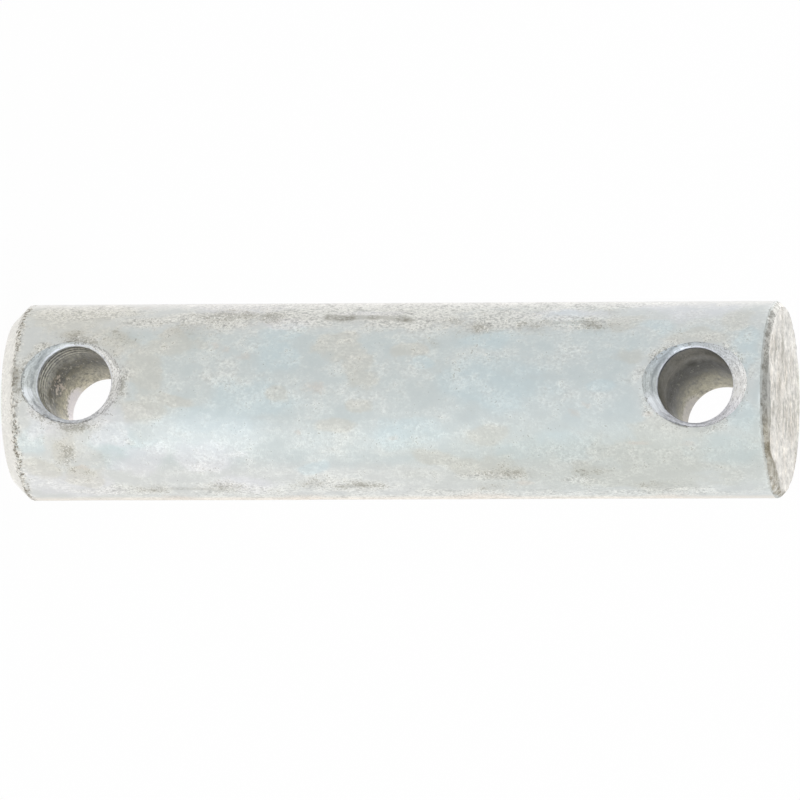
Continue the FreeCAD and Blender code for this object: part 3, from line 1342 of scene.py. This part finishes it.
def bore_tone_and_shade(sheet, along, lower):
    """The bores' oily colour, with painted shade deep inside and painted light at the back."""
    entry = sheet.mix(lower, tone(120, 117, 107), tone(187, 186, 178))
    # Painted shade deep in the bore.
    middle = sheet.mix(lower, tone(43, 41, 22), tone(110, 105, 82))
    # Painted light towards the back mouth.
    back = sheet.mix(lower, tone(158, 153, 133), tone(190, 183, 160))
    front = sheet.mix(along.ramp(0.0, 0.22), entry, middle)
    return sheet.mix(along.ramp(0.42, 1.15), front, back)


def rust(sheet, soft, fine):
    """Rust specks, dense at one place and drawn out along the bore."""
    squeezed = sheet.vector("MULTIPLY", sheet.place, tuple(RUST_SQUEEZE))
    gap = sheet.vector("DISTANCE", squeezed, tuple(RUST_PLACE * RUST_SQUEEZE), "Value")
    return specks(fine, gap.ramp(2.4, 0.4) * 1.15 + soft.swing(0.8) - 0.1, 0.71, 0.49)


def back_rim(sheet, depth, grain, fine, low_band):
    """How much light the rim of a back mouth takes, and its tone."""
    reach = 0.5 + low_band * 3.0 + grain.swing(6.0) + fine.swing(4.0)
    rim_tone = sheet.mix(low_band.ramp(0.2, 0.8), tone(220, 213, 196), tone(234, 228, 231))
    return (depth - reach).ramp(1.2, -0.4), rim_tone


def drilled(sheet):
    """The straight bores."""
    depth = sheet.kept("bore_depth")
    mouth_up = sheet.kept("mouth_up")
    front = sheet.axis("Y").ramp(2.0, -2.0)
    lower = sheet.axis("Z").ramp(60.0, 40.0)
    grain = grain_of(sheet, 7.0, (1.0, 0.4, 1.0))
    fine = sheet.clouds(0.4, detail=2.0, rough=0.7, stretch=(1.0, 0.3, 1.0), shift=17.0)
    soft = sheet.clouds(3.0, detail=3.0, rough=0.6, stretch=(1.0, 0.6, 1.0), shift=9.0)
    along = (sheet.axis("Y") + soft.swing(5.0) + grain.swing(3.0)).ramp(-7.5, 8.0)
    low_band = mouth_up.ramp(-0.55, -0.95)
    pitted = (along - 0.4).bell(0.4)
    # Painted shade: the bore's colour is made darker on its -X side and in its pitted middle.
    painted_shade = 0.25 * sheet.axis("X").ramp(-1.0, -4.0) + 0.2 * pitted * mouth_up.ramp(0.1, -0.9)
    colour = sheet.scaled(bore_tone_and_shade(sheet, along, lower), 1.0 - painted_shade * lower)
    ridges = (depth + soft.swing(0.5)).wave(RIDGE_PITCH) * depth.ramp(6.5, 2.5)
    ridges *= front * (0.03 + 0.97 * lower)
    shade = 1.0 + ridges * 0.75 + grain.swing(2.4) + (fine - 0.5) * (1.3 + 1.3 * lower)
    pale = specks(fine, pitted * 0.8 + soft.swing(1.2), 0.74, 0.54)
    score = (depth - 5.2 + soft.swing(1.6)).bell(0.3) * grain.ramp(0.42, 0.54) * low_band * front
    dark = specks(1.0 - fine, pitted * 1.2 - soft.swing(1.2))
    colour = layered(sheet, sheet.scaled(colour, shade), [
        (rust(sheet, soft, fine) * 0.75, (206, 190, 175)),
        (pale * (0.2 + 0.3 * lower), (206, 202, 188)),
        (score * 0.5 * (1.0 - lower), (172, 168, 156)),
        (dark * 0.6, (62, 58, 46)),
    ])
    lit, rim_tone = back_rim(sheet, depth, grain, fine, low_band)
    lit *= (1.0 - front) * (0.3 + (0.15 + 0.35 * low_band) * lower)
    colour = sheet.mix(lit, colour, rim_tone)
    entrance = (depth - 0.35).bell(0.35) * front * sheet.axis("X").ramp(2.0, -2.0)
    colour = layered(sheet, colour, [(entrance * 0.7, (92, 98, 120))])
    relief = ridges * 0.5 + grain * 2.0 + fine * 0.6
    sheet.finish(colour, 0.45 + grain.swing(0.4), 0.8, relief, 0.035)


# %% [markdown]
# The sawn end shows the strokes of the saw. They run across the face and bend a little. Its
# edge is crushed and dirty: torn and cracked on the side that the saw left, with a pale burr
# along its inner border elsewhere.

# %% Face of the sawn end
def sawn_wires(sheet):
    """The noises that the face and its edge share."""
    saw = types.SimpleNamespace(x=sheet.axis("X"))
    saw.soft = sheet.clouds(3.4, detail=3.0, rough=0.6, shift=37.0)
    bend = sheet.node("ShaderNodeCombineXYZ", {}, {"Y": saw.soft.swing(2.4)})
    bent = sheet.vector("ADD", sheet.place, bend)
    saw.strokes = sheet.clouds(2.2, detail=5.0, rough=0.85, stretch=(0.5, 1.0, 1.0), place=bent)
    saw.grain = grain_of(sheet, 19.0, (1.0, 0.5, 1.0))
    saw.fine = sheet.clouds(0.42, detail=2.0, rough=0.6, stretch=(0.7, 0.3, 1.0), shift=27.0)
    saw.crumbs = sheet.clouds(1.1, detail=4.0, rough=0.8, shift=71.0)
    saw.border = sheet.kept("outside_face") + saw.grain.swing(1.4) + saw.soft.swing(1.2)
    saw.bent_over = (saw.x + saw.soft.swing(4.0)).ramp(2.0, 7.0)
    saw.faded = saw.x.ramp(-7.0, -11.5)
    return saw


def sawn_face(sheet, saw):
    """The colour of the face inside its edge."""
    clean = (saw.x + saw.soft.swing(6.0)).ramp(1.0, 7.0)
    stroke_tone = sheet.mix(clean, tone(164, 160, 150), tone(206, 203, 197))
    colour = sheet.mix(saw.strokes.ramp(0.36, 0.6), stroke_tone, tone(222, 219, 213))
    blush = sheet.clouds(2.6, detail=1.0, stretch=(0.6, 1.0, 1.0), shift=83.0).ramp(0.48, 0.64)
    gritty = (sheet.axis("Y") + 2.0 + saw.soft.swing(4.0)).bell(2.2) * (1.0 - clean)
    colour = layered(sheet, colour, [
        (blush * 0.3, (218, 209, 196)),
        (saw.x.ramp(-5.0, -9.0) * 0.45, (230, 229, 226)),
        (gritty * 0.35, (186, 181, 172)),
    ])
    shade = 1.0 + saw.soft.swing(0.3) + saw.grain.swing(1.1) + saw.fine.swing(1.0)
    pits = specks(saw.fine, saw.strokes.ramp(0.56, 0.4) * 0.8 + gritty * 0.8)
    return layered(sheet, sheet.scaled(colour, shade), [(pits * 0.5, (124, 118, 106))])


# %% Crushed edge of the sawn end
def crushed_dirt(sheet, saw):
    """The colour of the crushed edge: clods of dirt on matt metal, and a band of painted shade."""
    upper_part = (saw.x + saw.soft.swing(3.0)).ramp(-1.5, -4.5)
    dull_tone = sheet.mix(saw.bent_over, tone(163, 164, 160), tone(174, 170, 158))
    metal = layered(sheet, dull_tone, [
        (upper_part * 0.6, (206, 205, 200)),
        (saw.x.ramp(9.5, 12.0), (208, 206, 199)),
        (saw.faded, (194, 193, 188)),
    ])
    clods = (saw.crumbs + saw.soft.swing(0.3)).ramp(0.38, 0.56)
    clod_tone = sheet.mix(saw.bent_over, tone(136, 136, 130), tone(146, 140, 124))
    dirt = sheet.scaled(sheet.mix(clods, clod_tone, metal), 1.0 + saw.fine.swing(1.4))
    # A soft band of painted shade across the middle of the crushed edge.
    shade_band = (saw.x - 1.2 + saw.crumbs.swing(3.0)).bell(2.6)
    return sheet.scaled(dirt, 1.0 - shade_band * 0.13)


def sawn(sheet):
    """The cropped face and its crushed edge."""
    saw = sawn_wires(sheet)
    crushed = saw.border.ramp(-0.15, 0.15)
    colour = sheet.mix(crushed * 0.9, sawn_face(sheet, saw), crushed_dirt(sheet, saw))
    burr = (saw.border + 0.2).bell(0.3) * (1.0 - saw.bent_over) * (1.0 - saw.faded)
    crack = (saw.border - 0.4 + saw.crumbs.swing(2.0)).bell(0.8) * saw.bent_over
    flat = sheet.vector("MULTIPLY", sheet.place, (1.0, 1.0, 0.0))
    rim = sheet.vector("LENGTH", flat, output="Value")
    shoulder = (rim + saw.crumbs.swing(1.4)).ramp(bar_radius - 0.5, bar_radius - 0.2)
    shoulder *= saw.grain.ramp(0.42, 0.56) * saw.crumbs.ramp(0.6, 0.44)
    lip = (rim + saw.crumbs.swing(0.6)).ramp(bar_radius - 0.22, bar_radius - 0.12)
    colour = layered(sheet, colour, [
        (burr * 0.75, (240, 238, 233)),
        (crack * saw.grain.ramp(0.36, 0.54) * 0.8, (118, 111, 91)),
        (shoulder * (0.8 - 0.2 * saw.bent_over), (92, 90, 80)),
        (specks(saw.fine, crushed * 0.7) * 0.5, (84, 80, 68)),
        (lip * 0.6, (188, 193, 192)),
    ])
    relief = saw.strokes * 0.8 + saw.grain * 0.8
    sheet.finish(colour, 0.5 + saw.grain.swing(0.3), 0.6, relief, 0.05)


# %% Dress the skin
for name, paint in (
    ("zinc_plating", plated),
    ("countersink_steel", countersunk),
    ("drilled_bore", drilled),
    ("sawn_end", sawn),
):
    material = new_material(name)
    paint(Sheet(material.node_tree))
    skin.materials.append(material)
    print(f"{name}: {len(material.node_tree.nodes)} nodes")

pin = bpy.data.objects.new("pin_body", skin)
bpy.context.scene.collection.objects.link(pin)
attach(pin, "root")
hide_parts(NODE)

# %% [markdown]
# ## Floor and light
#
# The background of the picture is plain white. The floor is pale, and gives off a little light
# that only the camera and mirror-like surfaces see, so that it reads as white there and still
# takes the pin's shadow.

# %% Floor and world
WHITE = (1.0, 1.0, 1.0, 1.0)
PAPER = (0.95, 0.95, 0.95, 1.0)
FLOOR_REACH = 8.0
FLOOR_GLOW = 0.95
ROOM_LIGHT = 0.75


def seen_directly(sheet):
    """1 for rays from the camera or off shiny and clear surfaces, and 0 for soft light."""
    rays = ["Is Camera Ray", "Is Glossy Ray", "Is Transmission Ray"]
    camera, glossy, through = (sheet.node("ShaderNodeLightPath", {}, {}, ray) for ray in rays)
    return (camera + glossy + through).clamped()


def make_floor():
    """A big sheet of white paper, most of whose white is its own."""
    mesh = bpy.data.meshes.new("floor")
    far = FLOOR_REACH
    corners = [(-far, -far, 0), (far, -far, 0), (far, far, 0), (-far, far, 0)]
    mesh.from_pydata(corners, [], [(0, 1, 2, 3)])
    material = new_material("floor_white")
    sheet = Sheet(material.node_tree)
    paper = sheet.node("ShaderNodeBsdfDiffuse", {}, {"Color": PAPER})
    glow = sheet.node("ShaderNodeEmission", {}, {"Color": WHITE, "Strength": 1.0})
    share = seen_directly(sheet) * FLOOR_GLOW
    both = sheet.node("ShaderNodeMixShader", {}, {0: share, 1: paper, 2: glow})
    sheet.node("ShaderNodeOutputMaterial", {}, {"Surface": both})
    mesh.materials.append(material)
    floor = bpy.data.objects.new("floor", mesh)
    bpy.context.scene.collection.objects.link(floor)
    floor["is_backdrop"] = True


def make_world():
    """White all round, at full strength where it is seen, and a little less as light."""
    world = bpy.data.worlds.new("white_room")
    world.use_nodes = True
    sheet = Sheet(world.node_tree)
    strength = ROOM_LIGHT + seen_directly(sheet) * (1.0 - ROOM_LIGHT)
    room = sheet.node("ShaderNodeBackground", {}, {"Color": WHITE, "Strength": strength})
    sheet.node("ShaderNodeOutputWorld", {}, {"Surface": room})
    bpy.context.scene.world = world


make_floor()
make_world()
print(f"floor {2 * FLOOR_REACH:.0f} m across, room light {ROOM_LIGHT}")

# %% [markdown]
# Four large lamps stand far off, so that the pin's shading is soft. Most of the light comes from
# its right, and the far lamp lights the insides of the back mouths.

# %% Lamps
def heading(turn, rise):
    """The direction at a turn from the front towards +X, and a rise above the level."""
    level = math.cos(rise)
    return Vector((math.sin(turn) * level, -math.cos(turn) * level, math.sin(rise)))


def make_lamp(name, turn, rise, distance, width, tall, power):
    """An area lamp at a turn and rise from the pin's middle, facing it."""
    lamp = bpy.data.lights.new(name, "AREA")
    lamp.shape = "RECTANGLE"
    lamp.size = width
    lamp.size_y = tall
    lamp.energy = power
    lamp_object = bpy.data.objects.new(name, lamp)
    bpy.context.scene.collection.objects.link(lamp_object)
    away = heading(math.radians(turn), math.radians(rise))
    middle = Vector((0, 0, bar_length / 2 * MM))
    lamp_object.location = middle + away * distance
    lamp_object.rotation_euler = away.to_track_quat("Z", "Y").to_euler()
    print(f"{name}: {power} W")


make_lamp("key_lamp", 60, 8, 2.6, 1.3, 1.9, 15.0)
make_lamp("side_lamp", 112, 10, 2.6, 1.9, 2.6, 21.0)
make_lamp("front_lamp", 25, 25, 1.2, 0.9, 0.9, 1.5)
make_lamp("far_lamp", -138, 8, 2.6, 2.2, 2.6, 30.0)

# %% [markdown]
# ## The camera
#
# The photo was taken from a little to the right of the cross holes and a little above them,
# from far away, with the pin lying across the picture. The pin stands here, so the camera
# is rolled by a quarter turn instead: up along the bar is right in the picture.

# %% Camera
CAMERA_TURN = math.radians(11.218)
CAMERA_RISE = math.radians(11.332)
CAMERA_ROLL = math.radians(-0.255)
CAMERA_DISTANCE = 180 * bar_radius * MM
PIXELS_PER_RADIUS = 98.31
AIM_HEIGHT = 3.9723 * bar_radius * MM
AIM_ASIDE = 0.0128 * bar_radius * MM
PICTURE_WIDTH = 800
SENSOR_WIDTH = 36.0
CLIP_END = 100.0


def make_camera():
    """The photo's camera, whose axes come from its turn, its rise and its roll."""
    lens = bpy.data.cameras.new("photo_camera")
    lens.sensor_width = SENSOR_WIDTH
    focal_pixels = PIXELS_PER_RADIUS * CAMERA_DISTANCE / (bar_radius * MM)
    lens.lens = focal_pixels * lens.sensor_width / PICTURE_WIDTH
    lens.clip_end = CLIP_END
    back = heading(CAMERA_TURN, CAMERA_RISE)
    level = Vector((math.cos(CAMERA_TURN), math.sin(CAMERA_TURN), 0.0))
    along = back.cross(level)
    across = -level
    right = along * math.cos(CAMERA_ROLL) + across * math.sin(CAMERA_ROLL)
    up = across * math.cos(CAMERA_ROLL) - along * math.sin(CAMERA_ROLL)
    turned = Matrix((right, up, back)).transposed().to_4x4()
    target = Vector((0, 0, AIM_HEIGHT)) + across * AIM_ASIDE
    camera = bpy.data.objects.new("photo_camera", lens)
    camera.matrix_world = Matrix.Translation(target + back * CAMERA_DISTANCE) @ turned
    bpy.context.scene.collection.objects.link(camera)
    bpy.context.scene.camera = camera
    print(f"lens {lens.lens:.0f} mm at {CAMERA_DISTANCE:.2f} m")


make_camera()
bpy.context.scene.view_settings.view_transform = "Standard"

# %% [markdown]
# ## The size, once more
#
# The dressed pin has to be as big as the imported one.

# %% Boxes, and the end
seen_low, seen_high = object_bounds()
differences = np.abs(np.array([seen_low, seen_high]) - np.array([cad_low, cad_high]))
print(f"the boxes differ by {differences.max() / MM:.3f} mm at most")
